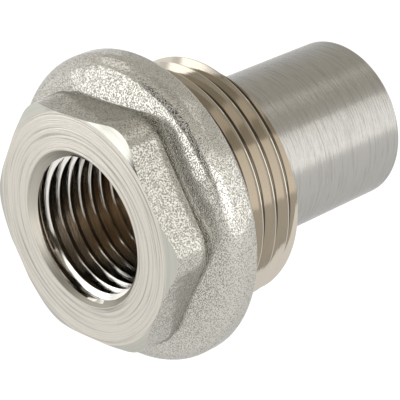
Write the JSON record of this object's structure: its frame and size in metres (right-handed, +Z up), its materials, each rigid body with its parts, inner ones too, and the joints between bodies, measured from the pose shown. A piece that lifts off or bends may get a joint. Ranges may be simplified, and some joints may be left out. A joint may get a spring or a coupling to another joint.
{
  "type": "radiator flow extension",
  "caption": "Nickel-plated brass fitting for a radiator port: hexagon head with a threaded inlet, rounded bead as a seat, left-hand outside thread and a plain flow tube.",
  "frame": {"origin": "on the axis, in the plane of the seat behind the bead that closes on the radiator", "axes": "+X along the axis into the radiator, towards the tube's open end; the inlet looks along -X; +Z is up, out of one flat of the hexagon"},
  "size_m": [0.0482, 0.0414, 0.0414],
  "materials": {
    "nickel_plate": "nickel plate over brass: turned face, shot-blasted forging, bright thread and brushed tube"
  },
  "bodies": {
    "root": {"extension_body": "nickel_plate"}
  },
  "joints": []
}
